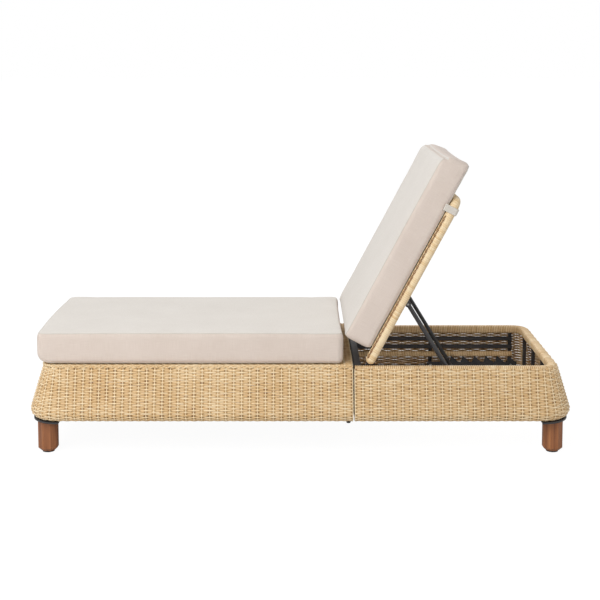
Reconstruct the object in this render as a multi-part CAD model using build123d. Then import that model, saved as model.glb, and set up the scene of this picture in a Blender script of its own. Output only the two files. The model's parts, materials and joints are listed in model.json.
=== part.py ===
# Wicker chaise longue: two woven base modules bolted end to end, a backrest that
# reclines on a ratchet prop, and loose box cushions.
# Millimetres. X runs along the length (foot end at -X), Y across, Z up from the floor.
# The origin is on the floor under the middle of the base.
import os
from math import acos, asin, atan2, cos, degrees, hypot, radians, sin, sqrt, tan

from build123d import *

# Overall sizes of the base
overall_length = 2000.0
overall_width = 800.0
rim_top = 324.0
skirt_bottom = 128.0

# Woven skirt: it leans out from the rim, curls in at the bottom and ends at the bottom rail
skirt_thickness = 6.0
curl_radius = 32.0
rim_set_in = 49.0
rim_corner_radius = 70.0
rear_skirt_drop = 6.0

# Joint between the two modules
joint_place = 195.0
joint_gap = 8.0

# Clearances
seat_gap = 0.3
hole_gap = 0.2
running_gap = 0.05
side_play = 1.0
soft_gap = 0.4
overrun = 20.0

# Base frame tubes and bars
rail_tube = 24.0
rail_wall = 2.0
rim_wrap_thickness = 3.0
wrap_corner = 7.0
bottom_rail_tube = 25.0
bottom_rail_set_in = 50.0
post_bar = 13.0
stringer_bar = 14.0
upper_stringer_drop = 53.0
stringer_spacing = 33.0
mid_rail_spacing = 31.0
mid_rail_thickness = 21.0
mid_rail_round = 6.0
cross_tube = 20.0
joint_bar = 24.0

# Where the posts stand
rear_post_spacing = 335.0
front_post_places = (-520.0, -160.0)
end_post_spacing = 184.0

# Woven seat deck
deck_thickness = 6.0
cross_tube_count = 5

# Legs and what holds them
leg_across_flats = 70.0
leg_sides = 8
leg_center_from_end = 68.0
leg_center_from_side = 87.5
leg_foot_chamfer = 11.0
glide_thickness = 5.0
glide_radius = 22.0
glide_pin_radius = 4.0
glide_pin_length = 16.0
gusset_thickness = 6.0
gusset_set_in = 12.0
gusset_clip = 24.0
leg_bolt_radius = 4.0
leg_bolt_depth = 45.0
leg_bolt_head_radius = 8.0
leg_bolt_head_height = 5.0
screw_radius = 2.5
screw_depth = 8.0
screw_head_radius = 5.0
screw_head_height = 3.5
screw_from_leg = 7.5
screw_edge = 8.5

# Bolts that join the modules, and the bumpers under the front module
joint_bolt_radius = 4.0
upper_joint_bolt_drop = 58.0
lower_joint_bolt_rise = 45.0
joint_bolt_head_radius = 6.2
joint_bolt_head_height = 5.0
joint_nut_across_flats = 13.0
joint_nut_height = 6.5
joint_bolt_tail = 3.0
spacer_radius = 9.0
bumper_radius = 11.0
bumper_tip_radius = 7.0
bumper_height = 15.0
bumper_set_back = 14.0

# Backrest: hinge, wrapped rails, weave and cross members
hinge_from_joint = 63.0
back_rest_gap = 6.0
back_side_set_in = 8.0
rest_angle = 62.0
back_length = 675.0
back_rail_diameter = 36.0
back_tube_diameter = 28.0
back_tube_wall = 2.0
back_bend_radius = 40.0
back_tube_stub = 7.0
back_weave_thickness = 6.0
back_weave_offset = 6.0
lower_rail_place = 42.0
lower_rail_diameter = 26.0
cross_member = 18.0
cross_member_offset = -8.0
upper_cross_place = 440.0

# Hinge brackets, pins and bushes
bracket_thickness = 5.0
bracket_head_radius = 16.0
bracket_foot_width = 64.0
pin_radius = 5.0
pin_head_radius = 8.0
pin_head_height = 3.0
bush_radius = 8.0
hinge_pin_depth = 24.0

# Prop: a welded bail that swings under the backrest and stands in the racks
prop_pivot_place = 240.0
prop_pivot_drop = 28.0
prop_tube_diameter = 16.0
prop_eye_radius = 9.0
prop_eye_proud = 0.5
prop_pin_radius = 4.0
prop_pin_head_radius = 6.5
prop_pin_head_height = 2.5
ear_thickness = 4.0
ear_radius = 11.0
prop_side_gap = 1.5

# Toothed racks
rack_lug = 14.0
rack_tail = 25.0
rack_foot_rise = 20.0
rack_base_height = 29.0
first_notch_step = 72.0
notch_rise = 5.5
notch_pitch = 48.0
notch_count = 6
tooth_height = 25.0
tooth_lean = 14.0
tooth_crest = 3.0
notch_play = 0.5
standoff_width = 16.0
standoff_height = 18.0
standoff_rise = 1.0
rack_bolt_radius = 3.0
rack_bolt_head_radius = 5.0
rack_bolt_head_height = 3.0

# Cushions and the strap that keeps the back cushion on its panel
cushion_overhang = 1.0
cushion_thickness = 118.0
cushion_crown = 6.0
cushion_corner = 36.0
cushion_least_corner = 10.0
cushion_draw_in = 6.0
cushion_edge_in = 13.0
seat_cushion_set_in = 33.0
seat_cushion_set_back = 44.0
back_cushion_start = 20.0
back_cushion_overhang = 122.0
strap_from_top = 52.0
strap_width = 26.0
strap_thickness = 2.0
strap_rise = 16.0

# Heights of the cushion's outlines as shares of its thickness, and how far each is
# drawn in as a share of the edge's own draw
side_height_shares = (0.0, 0.12, 0.35, 0.65, 0.88, 1.0)
side_inset_shares = (1.0, 0.26, 0.0, 0.0, 0.26, 1.0)
# The crown rises over these shares of the cushion's half width
crown_inset_shares = (0.2, 0.6)
crown_height_shares = (0.55, 1.0)

# Places worked out from the sizes above
corner_reach = rim_set_in + rim_corner_radius
corner_x = overall_length / 2 - corner_reach
corner_y = overall_width / 2 - corner_reach
front_joint_end = joint_place - joint_gap / 2
rear_joint_end = joint_place + joint_gap / 2
curl_u = corner_reach - curl_radius
curl_z = skirt_bottom + curl_radius
lean_u = rim_corner_radius - curl_u
lean_z = rim_top - curl_z
lean = atan2(lean_z, lean_u) - acos(curl_radius / hypot(lean_u, lean_z))
rim_half_width = overall_width / 2 - rim_set_in

# The corner plates reach past the legs far enough to hold their screws
leg_half = leg_across_flats / 2
screw_from_side = leg_center_from_side + leg_half + screw_from_leg
screw_from_end = leg_center_from_end + leg_half + screw_from_leg
gusset_bend = corner_reach - gusset_set_in
gusset_inner_x = overall_length / 2 - screw_from_end - screw_edge
gusset_inner_y = overall_width / 2 - screw_from_side - screw_edge

parts = {}


def lean_line(radius, height):
    """Distance from the corner line to the leaning wall of one side of the skirt."""
    start_u = curl_u + radius * cos(lean)
    start_z = curl_z + radius * sin(lean)
    return start_u - (height - start_z) * tan(lean)


# The rim tube hangs against the inside of the leaning skirt
skirt_inner_radius = curl_radius - skirt_thickness
rim_wrap_size = rail_tube + 2 * rim_wrap_thickness
wrap_corner_rise = (rim_top - wrap_corner - curl_z) * sin(lean)
wrap_corner_u = curl_u + (skirt_inner_radius - wrap_corner - seat_gap - wrap_corner_rise) / cos(lean)
rim_center_u = wrap_corner_u + wrap_corner - rim_wrap_size / 2
rim_center_z = rim_top - rim_wrap_size / 2
bottom_outer_u = corner_reach - bottom_rail_set_in
hem_u = bottom_outer_u + seat_gap
bottom_center_u = bottom_outer_u - bottom_rail_tube / 2
bottom_center_z = skirt_bottom + bottom_rail_tube / 2
bottom_rail_top = skirt_bottom + bottom_rail_tube
rear_post_place = corner_x - rear_post_spacing
upper_stringer_height = rim_top - upper_stringer_drop
lower_stringer_height = upper_stringer_height - stringer_spacing
mid_rail_height = lower_stringer_height - mid_rail_spacing
joint_bolt_heights = (rim_top - upper_joint_bolt_drop, skirt_bottom + lower_joint_bolt_rise)
post_u = (bottom_outer_u - bottom_rail_tube + rim_center_u + rail_tube / 2) / 2
post_inner_u = post_u - post_bar / 2
stringer_u = post_inner_u - stringer_bar / 2
front_rail_top = rim_top
front_rail_z = front_rail_top - rail_tube / 2
rear_rail_z = rim_center_z
deck_top = rim_top + deck_thickness

# The backrest lies over the rear rim when it is flat, and its hinge is set from the joint
hinge_place = joint_place + hinge_from_joint
hinge_height = rim_top + back_rest_gap + back_rail_diameter / 2
back_half_width = rim_half_width - back_side_set_in

# Plates of the mechanism: hinge brackets and racks stand in one plane each side
back_rail_y = back_half_width - back_rail_diameter / 2
back_inner_y = back_half_width - back_rail_diameter
plate_outer_y = back_inner_y - side_play
plate_inner_y = plate_outer_y - bracket_thickness
prop_leg_y = plate_inner_y - prop_side_gap - prop_tube_diameter / 2

# Racks: they are bolted to the rear module's side posts
rack_start = rear_post_place - rack_lug
rack_end = corner_x + rack_tail
rack_foot_height = skirt_bottom + rack_foot_rise
standoff_foot = bottom_rail_top + standoff_rise
rack_bolt_height = standoff_foot + standoff_height / 2
first_notch_place = rear_post_place + first_notch_step
notch_height = rack_foot_height + rack_base_height + notch_rise

# Linkage: the prop's foot stands in the first notch when the back is raised
raise_angle = radians(rest_angle)
pivot_x = hinge_place + prop_pivot_place * cos(raise_angle) + prop_pivot_drop * sin(raise_angle)
pivot_z = hinge_height + prop_pivot_place * sin(raise_angle) - prop_pivot_drop * cos(raise_angle)
prop_length = hypot(first_notch_place - pivot_x, pivot_z - notch_height)
prop_angle = atan2(pivot_z - notch_height, first_notch_place - pivot_x)
flat_pivot_z = hinge_height - prop_pivot_drop
flat_prop_angle = asin((flat_pivot_z - notch_height) / prop_length)
prop_turn = rest_angle + degrees(prop_angle) - degrees(flat_prop_angle)
flat_foot_x = hinge_place + prop_pivot_place + prop_length * cos(flat_prop_angle)

# Cushions follow the base and the back that they lie on
cushion_width = 2 * (rim_half_width + cushion_overhang)
seat_cushion_start = seat_cushion_set_in - overall_length / 2
seat_cushion_end = front_joint_end - seat_cushion_set_back
back_cushion_length = back_length - back_cushion_start + back_cushion_overhang
strap_place = back_length - strap_from_top


def round_module(section, joint_end):
    """Carries an upright section round a rear module: two sides, two corners and the end.

    The section's own x is the distance out from the corner line, its y is the height.
    """
    side_plane = Plane(origin=(joint_end, corner_y, 0), x_dir=(0, 1, 0), z_dir=(1, 0, 0))
    corner_plane = Plane(origin=(corner_x, corner_y, 0), x_dir=(0, 1, 0), z_dir=(1, 0, 0))
    end_plane = Plane(origin=(corner_x, corner_y, 0), x_dir=(1, 0, 0), z_dir=(0, -1, 0))
    corner_line = Axis((corner_x, corner_y, 0), (0, 0, -1))
    side = extrude(side_plane * section, amount=corner_x - joint_end, dir=(1, 0, 0))
    corner = revolve(corner_plane * section, axis=corner_line, revolution_arc=90)
    end = extrude(end_plane * section, amount=corner_y, dir=(0, -1, 0))
    half = side + corner + end
    return half + mirror(half, about=Plane.XZ)


def front_of(section):
    """The same for the front module, which is longer and faces the other way."""
    return mirror(round_module(section, -front_joint_end), about=Plane.YZ)


def skirt_section(top):
    """Wall of even thickness: a flat hem, a quarter curl and a straight lean to the top."""
    center = (curl_u, curl_z)
    sweep_angle = 90 + degrees(lean)
    outer = CenterArc(center, curl_radius, -90, sweep_angle)
    inner = CenterArc(center, skirt_inner_radius, -90, sweep_angle)
    outer_top = (lean_line(curl_radius, top), top)
    inner_top = (lean_line(skirt_inner_radius, top), top)
    lines = [
        outer,
        Line(outer @ 1, outer_top),
        Line(outer_top, inner_top),
        Line(inner_top, inner @ 1),
        inner,
        Line(inner @ 0, (hem_u, skirt_bottom + skirt_thickness)),
        Line((hem_u, skirt_bottom + skirt_thickness), (hem_u, skirt_bottom)),
        Line((hem_u, skirt_bottom), outer @ 0),
    ]
    return make_face(lines)


def tube_section(center_u, center_z, size, wall):
    """Square steel tube."""
    inside = size - 2 * wall
    return Pos(center_u, center_z) * (Rectangle(size, size) - Rectangle(inside, inside))


def both_sides(shape):
    """A piece and its mirror image on the other side."""
    return Compound(children=[shape, mirror(shape, about=Plane.XZ)])


def group(shapes):
    """Loose solids that share one node."""
    solids = [solid for shape in shapes for solid in shape.solids()]
    return Compound(children=solids)


def cylinder_y(x, z, y_from, y_to, radius):
    """Round bar along Y between two places."""
    plane = Plane(origin=(x, y_from, z), x_dir=(1, 0, 0), z_dir=(0, 1, 0))
    return extrude(plane * Circle(radius), amount=y_to - y_from, dir=(0, 1, 0))


def cylinder_x(x_from, x_to, y, z, radius):
    plane = Plane(origin=(x_from, y, z), x_dir=(0, 1, 0), z_dir=(1, 0, 0))
    return extrude(plane * Circle(radius), amount=x_to - x_from, dir=(1, 0, 0))


def cylinder_z(x, y, z_from, z_to, radius):
    return extrude(Pos(x, y, z_from) * Circle(radius), amount=z_to - z_from, dir=(0, 0, 1))


def bar(x_from, x_to, y_from, y_to, z_from, z_to):
    """Straight square-edged bar between two corners."""
    size = (x_to - x_from, y_to - y_from, z_to - z_from)
    middle = ((x_from + x_to) / 2, (y_from + y_to) / 2, (z_from + z_to) / 2)
    return Pos(*middle) * Box(*size)


def plate_xz(outline, y_from, y_to):
    """Flat plate whose outline is drawn as x and z, between two places across."""
    plane = Plane(origin=(0, y_from, 0), x_dir=(1, 0, 0), z_dir=(0, -1, 0))
    return extrude(plane * outline, amount=y_to - y_from, dir=(0, 1, 0))


def raised(shape):
    """Places what was drawn along the flat backrest at its raised angle on the hinge."""
    return Pos(hinge_place, 0, hinge_height) * Rot(0, -rest_angle, 0) * shape


def make_skirts():
    parts["front_skirt"] = front_of(skirt_section(rim_top))
    parts["rear_skirt"] = round_module(skirt_section(rim_top - rear_skirt_drop), rear_joint_end)


def rear_posts_cut(gap):
    """The posts that pass up through the underside of the rear rim wrap."""
    side = post_bar + 2 * gap
    top = rim_center_z - rail_tube / 2
    return [Pos(x, y, (bottom_rail_top + top) / 2) * Box(side, side, top - bottom_rail_top)
            for x, y in rear_post_spots()]


def rear_frame_room(gap):
    """Where the joint frame's top bar and posts meet the rim wrap."""
    start = rear_joint_end - overrun
    half = rail_tube / 2 + gap
    top_y = corner_y + rim_center_u - rail_tube / 2
    room = bar(start, rear_joint_end + joint_bar + gap, -top_y, top_y,
               rear_rail_z - half, rear_rail_z + half)
    post_y = corner_y + post_u
    post_half = post_bar / 2 + gap
    for sign in (-1, 1):
        room += bar(start, rear_joint_end + post_bar + gap, sign * post_y - post_half,
                    sign * post_y + post_half, bottom_rail_top, rear_rail_z - rail_tube / 2)
    return room


def rear_post_spots():
    side_y = corner_y + post_u
    end_x = corner_x + post_u
    spots = [(x, sign * side_y) for x in (rear_post_place, corner_x) for sign in (-1, 1)]
    spots += [(end_x, sign * end_post_spacing / 2) for sign in (-1, 1)]
    spots += [(end_x, sign * corner_y) for sign in (-1, 1)]
    return spots


def front_post_spots():
    side_y = corner_y + post_u
    end_x = -corner_x - post_u
    spots = [(x, sign * side_y) for x in (*front_post_places, -corner_x) for sign in (-1, 1)]
    spots += [(end_x, sign * end_post_spacing / 2) for sign in (-1, 1)]
    spots += [(end_x, sign * corner_y) for sign in (-1, 1)]
    return spots


def make_rails():
    """Bent top and bottom rails of both modules, and the wicker wrapped on the rear rim."""
    top_front = tube_section(rim_center_u, front_rail_z, rail_tube, rail_wall)
    top_rear = tube_section(rim_center_u, rear_rail_z, rail_tube, rail_wall)
    bottom = tube_section(bottom_center_u, bottom_center_z, bottom_rail_tube, rail_wall)
    parts["front_top_rail"] = front_of(top_front)
    parts["rear_top_rail"] = round_module(top_rear, rear_joint_end)

    hole_size = rail_tube + 2 * running_gap
    hole = Pos(rim_center_u, rim_center_z) * Rectangle(hole_size, hole_size)
    sleeve = Pos(rim_center_u, rim_center_z) * RectangleRounded(
        rim_wrap_size, rim_wrap_size, wrap_corner)
    wrap = round_module(sleeve - hole, rear_joint_end)
    for post in rear_posts_cut(hole_gap):
        wrap -= post
    wrap -= rear_frame_room(hole_gap)
    parts["rear_rim_wrap"] = wrap

    holes = [cylinder_z(x, y, skirt_bottom - overrun, skirt_bottom + screw_depth,
                        screw_radius + hole_gap) for x, y in gusset_screw_spots()]
    holes += [cylinder_z(x, y, skirt_bottom - overrun, bottom_rail_top + overrun,
                         leg_bolt_radius + hole_gap) for x, y in leg_spots()]
    front = front_of(bottom)
    rear = round_module(bottom, rear_joint_end)
    for hole in holes:
        if hole.center().X < joint_place:
            front -= hole
        else:
            rear -= hole
    parts["front_bottom_rail"] = front
    parts["rear_bottom_rail"] = rear


def make_posts():
    """Upright bars between the bottom and top rails."""
    rear_top = rear_rail_z - rail_tube / 2
    front_top = front_rail_z - rail_tube / 2
    half = post_bar / 2
    parts["rear_posts"] = group(
        bar(x - half, x + half, y - half, y + half, bottom_rail_top, rear_top)
        for x, y in rear_post_spots())
    parts["front_posts"] = group(
        bar(x - half, x + half, y - half, y + half, bottom_rail_top, front_top)
        for x, y in front_post_spots())


def joint_frame(x_from, x_to, post_x_from, post_x_to, rail_z):
    """Two posts and two cross bars that close the end of a module."""
    bottom_y = corner_y + bottom_outer_u - bottom_rail_tube
    top_y = corner_y + rim_center_u - rail_tube / 2
    post_y = corner_y + post_u
    half = post_bar / 2
    bottom_half = bottom_rail_tube / 2
    top_half = rail_tube / 2
    lower = bar(x_from, x_to, -bottom_y, bottom_y,
                bottom_center_z - bottom_half, bottom_center_z + bottom_half)
    upper = bar(x_from, x_to, -top_y, top_y, rail_z - top_half, rail_z + top_half)
    shapes = [lower, upper]
    for sign in (-1, 1):
        post = bar(post_x_from, post_x_to, sign * post_y - half, sign * post_y + half,
                   bottom_rail_top, rail_z - top_half)
        for height in joint_bolt_heights:
            post -= cylinder_x(post_x_from - overrun, post_x_to + overrun, sign * post_y,
                               height, joint_bolt_radius + hole_gap)
        shapes.append(post)
    return group(shapes)


def make_joint():
    """End frames of both modules with the bolts, spacers and nuts between them."""
    front, rear = front_joint_end, rear_joint_end
    parts["front_joint_frame"] = joint_frame(
        front - joint_bar, front, front - post_bar, front, front_rail_z)
    parts["rear_joint_frame"] = joint_frame(
        rear, rear + joint_bar, rear, rear + post_bar, rear_rail_z)
    bolts, spacers, nuts = [], [], []
    head_x = rear + post_bar
    nut_x = front - post_bar - joint_nut_height
    for sign in (-1, 1):
        y = sign * (corner_y + post_u)
        for z in joint_bolt_heights:
            shank = cylinder_x(nut_x - joint_bolt_tail, head_x, y, z, joint_bolt_radius)
            head = cylinder_x(head_x, head_x + joint_bolt_head_height, y, z,
                              joint_bolt_head_radius)
            bolts.append(shank + head)
            hole = cylinder_x(front, rear, y, z, joint_bolt_radius + hole_gap)
            spacers.append(cylinder_x(front, rear, y, z, spacer_radius) - hole)
            plane = Plane(origin=(nut_x, y, z), x_dir=(0, 1, 0), z_dir=(1, 0, 0))
            hexagon = RegularPolygon(joint_nut_across_flats / 2, 6, major_radius=False)
            ring = hexagon - Circle(joint_bolt_radius + running_gap)
            nuts.append(extrude(plane * ring, amount=joint_nut_height, dir=(1, 0, 0)))
    parts["joint_bolts"] = group(bolts)
    parts["joint_spacers"] = group(spacers)
    parts["joint_nuts"] = group(nuts)
    bumper_y = corner_y + bottom_center_u
    bumpers = []
    for sign in (-1, 1):
        tip = Pos(front - bumper_set_back, sign * bumper_y, skirt_bottom - bumper_height)
        base = Pos(front - bumper_set_back, sign * bumper_y, skirt_bottom)
        bumpers.append(loft([tip * Circle(bumper_tip_radius), base * Circle(bumper_radius)]))
    parts["joint_bumpers"] = group(bumpers)


def make_deck():
    """Woven seat deck laid over the front module, on cross tubes between the side rails."""
    u = lean_line(curl_radius, rim_top)
    outline = RectangleRounded(2 * (corner_x + u), 2 * (corner_y + u), u)
    keep = Pos(front_joint_end - overall_length / 2, 0) * Rectangle(overall_length, overall_width)
    deck = extrude(Pos(0, 0, rim_top) * (outline & keep), amount=deck_thickness)
    parts["front_deck"] = deck
    inner_y = corner_y + rim_center_u - rail_tube / 2
    inner_x = corner_x + rim_center_u - rail_tube / 2
    span = front_joint_end - joint_bar + inner_x
    pitch = span / (cross_tube_count + 1)
    tubes = []
    for index in range(cross_tube_count):
        x = -inner_x + pitch * (index + 1)
        outer = bar(x - cross_tube / 2, x + cross_tube / 2, -inner_y, inner_y,
                    front_rail_top - cross_tube, front_rail_top)
        tubes.append(outer)
    parts["seat_cross_tubes"] = group(tubes)


def make_stringers():
    """Side bars inside the rear module and the wrapped rail under them."""
    y = corner_y + stringer_u
    half = stringer_bar / 2
    x_to = corner_x + post_bar / 2
    heights = (upper_stringer_height, lower_stringer_height)
    parts["rear_stringers"] = group(
        bar(rear_joint_end, x_to, sign * y - half, sign * y + half, z - half, z + half)
        for sign in (-1, 1) for z in heights)
    rail_y = corner_y + post_inner_u - mid_rail_thickness / 2
    rails = []
    for sign in (-1, 1):
        plane = Plane(origin=(rear_joint_end, sign * rail_y, mid_rail_height),
                      x_dir=(0, 1, 0), z_dir=(1, 0, 0))
        section = RectangleRounded(mid_rail_thickness, mid_rail_thickness, mid_rail_round)
        rails.append(extrude(plane * section, amount=x_to - rear_joint_end, dir=(1, 0, 0)))
    parts["rear_mid_rails"] = group(rails)


def gusset_corner(leg_at_x, leg_at_y):
    """Corner plate under one leg, rounded with the skirt's corner."""
    whole = RectangleRounded(overall_length - 2 * gusset_set_in,
                             overall_width - 2 * gusset_set_in, gusset_bend)
    reach_x = overall_length / 2 - gusset_inner_x
    reach_y = overall_width / 2 - gusset_inner_y
    keep = Pos(gusset_inner_x + reach_x / 2, gusset_inner_y + reach_y / 2) * Rectangle(
        reach_x, reach_y)
    keep = chamfer(keep.vertices().sort_by(lambda v: v.X + v.Y)[0], gusset_clip)
    outline = Pos(0, 0, skirt_bottom - gusset_thickness) * (whole & keep)
    plate = extrude(outline, amount=gusset_thickness, dir=(0, 0, 1))
    plate -= cylinder_z(abs(leg_at_x), abs(leg_at_y), skirt_bottom - gusset_thickness - overrun,
                        skirt_bottom + overrun, leg_bolt_radius + hole_gap)
    for x, y in corner_screw_spots():
        plate -= cylinder_z(x, y, skirt_bottom - gusset_thickness - overrun,
                            skirt_bottom + overrun, screw_radius + hole_gap)
    if leg_at_x < 0:
        plate = mirror(plate, about=Plane.YZ)
    if leg_at_y < 0:
        plate = mirror(plate, about=Plane.XZ)
    return plate


def corner_screw_spots():
    """Screws go up into the bottom rail on both sides of the corner."""
    side_spot = (overall_length / 2 - screw_from_end, corner_y + bottom_center_u)
    end_spot = (corner_x + bottom_center_u, overall_width / 2 - screw_from_side)
    return [side_spot, end_spot]


def gusset_screw_spots():
    return [(sx * x, sy * y) for sx in (-1, 1) for sy in (-1, 1) for x, y in corner_screw_spots()]


def leg_spots():
    leg_x = overall_length / 2 - leg_center_from_end
    leg_y = overall_width / 2 - leg_center_from_side
    return [(sx * leg_x, sy * leg_y) for sx in (-1, 1) for sy in (-1, 1)]


def make_legs():
    """Octagonal timber legs on black glides, bolted up through corner plates to the rail."""
    leg_top = skirt_bottom - gusset_thickness
    foot = leg_across_flats - 2 * leg_foot_chamfer
    shaft_start = glide_thickness + leg_foot_chamfer
    turn = Rot(0, 0, 180 / leg_sides)
    low = Pos(0, 0, glide_thickness) * turn * RegularPolygon(
        foot / 2, leg_sides, major_radius=False)
    high = Pos(0, 0, shaft_start) * turn * RegularPolygon(
        leg_half, leg_sides, major_radius=False)
    leg = loft([low, high], ruled=True)
    leg += extrude(high, amount=leg_top - shaft_start)
    leg -= cylinder_z(0, 0, leg_top - leg_bolt_depth, leg_top + overrun,
                      leg_bolt_radius + running_gap)
    leg -= cylinder_z(0, 0, 0, glide_thickness + glide_pin_length, glide_pin_radius + running_gap)
    glide = cylinder_z(0, 0, 0, glide_thickness, glide_radius)
    glide += cylinder_z(0, 0, glide_thickness, glide_thickness + glide_pin_length - seat_gap,
                        glide_pin_radius)
    bolt = cylinder_z(0, 0, leg_top - leg_bolt_depth + seat_gap, bottom_rail_top, leg_bolt_radius)
    bolt += cylinder_z(0, 0, bottom_rail_top, bottom_rail_top + leg_bolt_head_height,
                       leg_bolt_head_radius)
    glides, bolts, plates = [], [], []
    names = ("front_left_leg", "front_right_leg", "rear_left_leg", "rear_right_leg")
    for name, (x, y) in zip(names, leg_spots()):
        spot = Pos(x, y, 0)
        parts[name] = spot * leg
        glides.append(spot * glide)
        bolts.append(spot * bolt)
        plates.append(gusset_corner(x, y))
    parts["leg_glides"] = group(glides)
    parts["leg_bolts"] = group(bolts)
    parts["corner_gussets"] = group(plates)
    low_face = skirt_bottom - gusset_thickness
    parts["gusset_screws"] = group(
        cylinder_z(x, y, low_face, skirt_bottom + screw_depth, screw_radius)
        + cylinder_z(x, y, low_face - screw_head_height, low_face, screw_head_radius)
        for x, y in gusset_screw_spots())


def rack_outline():
    """Base strip with leaning teeth: each notch is a round seat under a hooked wall."""
    seat_radius = prop_tube_diameter / 2 + notch_play
    strip_top = rack_foot_height + rack_base_height
    tip = notch_height - seat_radius + tooth_height
    lip = sqrt(seat_radius ** 2 - (notch_height - strip_top) ** 2)
    lines = [Line((rack_start, rack_foot_height), (rack_start, strip_top))]
    for index in range(notch_count):
        seat = first_notch_place + notch_pitch * index
        wall = (seat + seat_radius, notch_height)
        crest = (seat + tooth_lean, tip)
        lines.append(Line(lines[-1] @ 1, (seat - lip, strip_top)))
        lines.append(ThreePointArc(lines[-1] @ 1, (seat, notch_height - seat_radius), wall))
        lines.append(Line(wall, crest))
        lines.append(Line(crest, (seat + tooth_lean + tooth_crest, tip)))
    last = first_notch_place + notch_pitch * notch_count
    lines.append(Line(lines[-1] @ 1, (last - lip, strip_top)))
    lines.append(Line(lines[-1] @ 1, (rack_end, strip_top)))
    lines.append(Line(lines[-1] @ 1, (rack_end, rack_foot_height)))
    lines.append(Line(lines[-1] @ 1, lines[0] @ 0))
    return make_face(lines)


def make_racks():
    """Both racks, their standoffs on the posts, and the bolts through them."""
    outline = rack_outline()
    post_face = corner_y + post_inner_u
    post_spots = (rear_post_place, corner_x)
    standoff_half = standoff_width / 2
    for name, sign in (("left_rack", -1), ("right_rack", 1)):
        rack = plate_xz(outline, plate_inner_y, plate_outer_y)
        for x in post_spots:
            rack -= cylinder_y(x, rack_bolt_height, plate_inner_y - overrun,
                               plate_outer_y + overrun, rack_bolt_radius + hole_gap)
        parts[name] = rack if sign > 0 else mirror(rack, about=Plane.XZ)
    standoffs, bolts = [], []
    for x in post_spots:
        block = bar(x - standoff_half, x + standoff_half, plate_outer_y, post_face,
                    standoff_foot, standoff_foot + standoff_height)
        block -= cylinder_y(x, rack_bolt_height, plate_outer_y - overrun, post_face + overrun,
                            rack_bolt_radius + hole_gap)
        bolt = cylinder_y(x, rack_bolt_height, plate_inner_y, post_face, rack_bolt_radius)
        bolt += cylinder_y(x, rack_bolt_height, plate_inner_y - rack_bolt_head_height,
                           plate_inner_y, rack_bolt_head_radius)
        standoffs += both_sides(block).solids()
        bolts += both_sides(bolt).solids()
    parts["rack_standoffs"] = group(standoffs)
    parts["rack_bolts"] = group(bolts)


def make_hinge():
    """Brackets welded to the stringers, with the pins and bushes the back turns on."""
    stringer_face = corner_y + stringer_u - stringer_bar / 2
    low = lower_stringer_height - stringer_bar / 2
    half_foot = bracket_foot_width / 2
    shoulder = rim_top - rim_wrap_size
    head = Pos(hinge_place, hinge_height) * Circle(bracket_head_radius)
    web = Polygon(
        (hinge_place - half_foot, low),
        (hinge_place + half_foot, low),
        (hinge_place + half_foot, upper_stringer_height + stringer_bar / 2),
        (hinge_place + bracket_head_radius, shoulder),
        (hinge_place + bracket_head_radius, hinge_height),
        (hinge_place - bracket_head_radius, hinge_height),
        (hinge_place - bracket_head_radius, shoulder),
        (hinge_place - half_foot, upper_stringer_height + stringer_bar / 2),
        align=None)
    bracket = plate_xz(head + web, plate_inner_y, plate_outer_y)
    for z in (upper_stringer_height, lower_stringer_height):
        bracket += bar(hinge_place - half_foot, hinge_place + half_foot,
                       plate_outer_y, stringer_face, z - stringer_bar / 2, z + stringer_bar / 2)
    bracket -= cylinder_y(hinge_place, hinge_height, plate_inner_y - overrun,
                          plate_outer_y + overrun, pin_radius + running_gap)
    parts["hinge_brackets"] = both_sides(bracket)
    pin_end = back_inner_y + hinge_pin_depth
    pin = cylinder_y(hinge_place, hinge_height, plate_inner_y, pin_end, pin_radius)
    pin += cylinder_y(hinge_place, hinge_height, plate_inner_y - pin_head_height,
                      plate_inner_y, pin_head_radius)
    parts["hinge_pins"] = both_sides(pin)
    bush = cylinder_y(0, 0, back_inner_y, pin_end, bush_radius)
    bush -= cylinder_y(0, 0, back_inner_y - overrun, pin_end + overrun, pin_radius + running_gap)
    parts["hinge_bushes"] = both_sides(raised(bush))


def back_hoop(diameter, start):
    """Round tube bent to a U along both sides and over the top of the backrest."""
    far = back_length - back_rail_diameter / 2
    path = FilletPolyline((start, -back_rail_y), (far, -back_rail_y), (far, back_rail_y),
                          (start, back_rail_y), radius=back_bend_radius)
    section = Plane(origin=path @ 0, z_dir=path % 0) * Circle(diameter / 2)
    return sweep(section, path=path)


def make_back_frame():
    """The backrest's bent tube, its wicker wrap, the lower rail and the cross members."""
    tube = back_hoop(back_tube_diameter, -back_tube_stub)
    tube -= back_hoop(back_tube_diameter - 2 * back_tube_wall, -back_tube_stub)
    cavity = back_hoop(back_tube_diameter + 2 * running_gap, -back_tube_stub - running_gap)
    wrap = back_hoop(back_rail_diameter, 0)
    for sign in (-1, 1):
        wrap += Pos(0, sign * back_rail_y, 0) * Sphere(back_rail_diameter / 2)
    solid_rail = wrap
    wrap = wrap - cavity
    hole_end = back_inner_y + hinge_pin_depth + hole_gap
    for sign in (-1, 1):
        y_from, y_to = sorted((sign * (back_inner_y - overrun), sign * hole_end))
        hole = cylinder_y(0, 0, y_from, y_to, bush_radius + running_gap)
        tube -= hole
        wrap -= hole
    parts["back_frame_tube"] = raised(tube)
    parts["back_rim_wrap"] = raised(wrap)

    rail_end = back_inner_y + back_rail_diameter / 4
    lower = cylinder_y(lower_rail_place, 0, -rail_end, rail_end, lower_rail_diameter / 2)
    parts["back_lower_rail"] = raised(lower - solid_rail)
    bars = []
    half = cross_member / 2
    for place in (prop_pivot_place, upper_cross_place):
        cross = bar(place - half, place + half, -rail_end, rail_end,
                    cross_member_offset - half, cross_member_offset + half)
        bars.append(raised(cross - solid_rail))
    parts["back_cross_tubes"] = group(bars)


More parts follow.
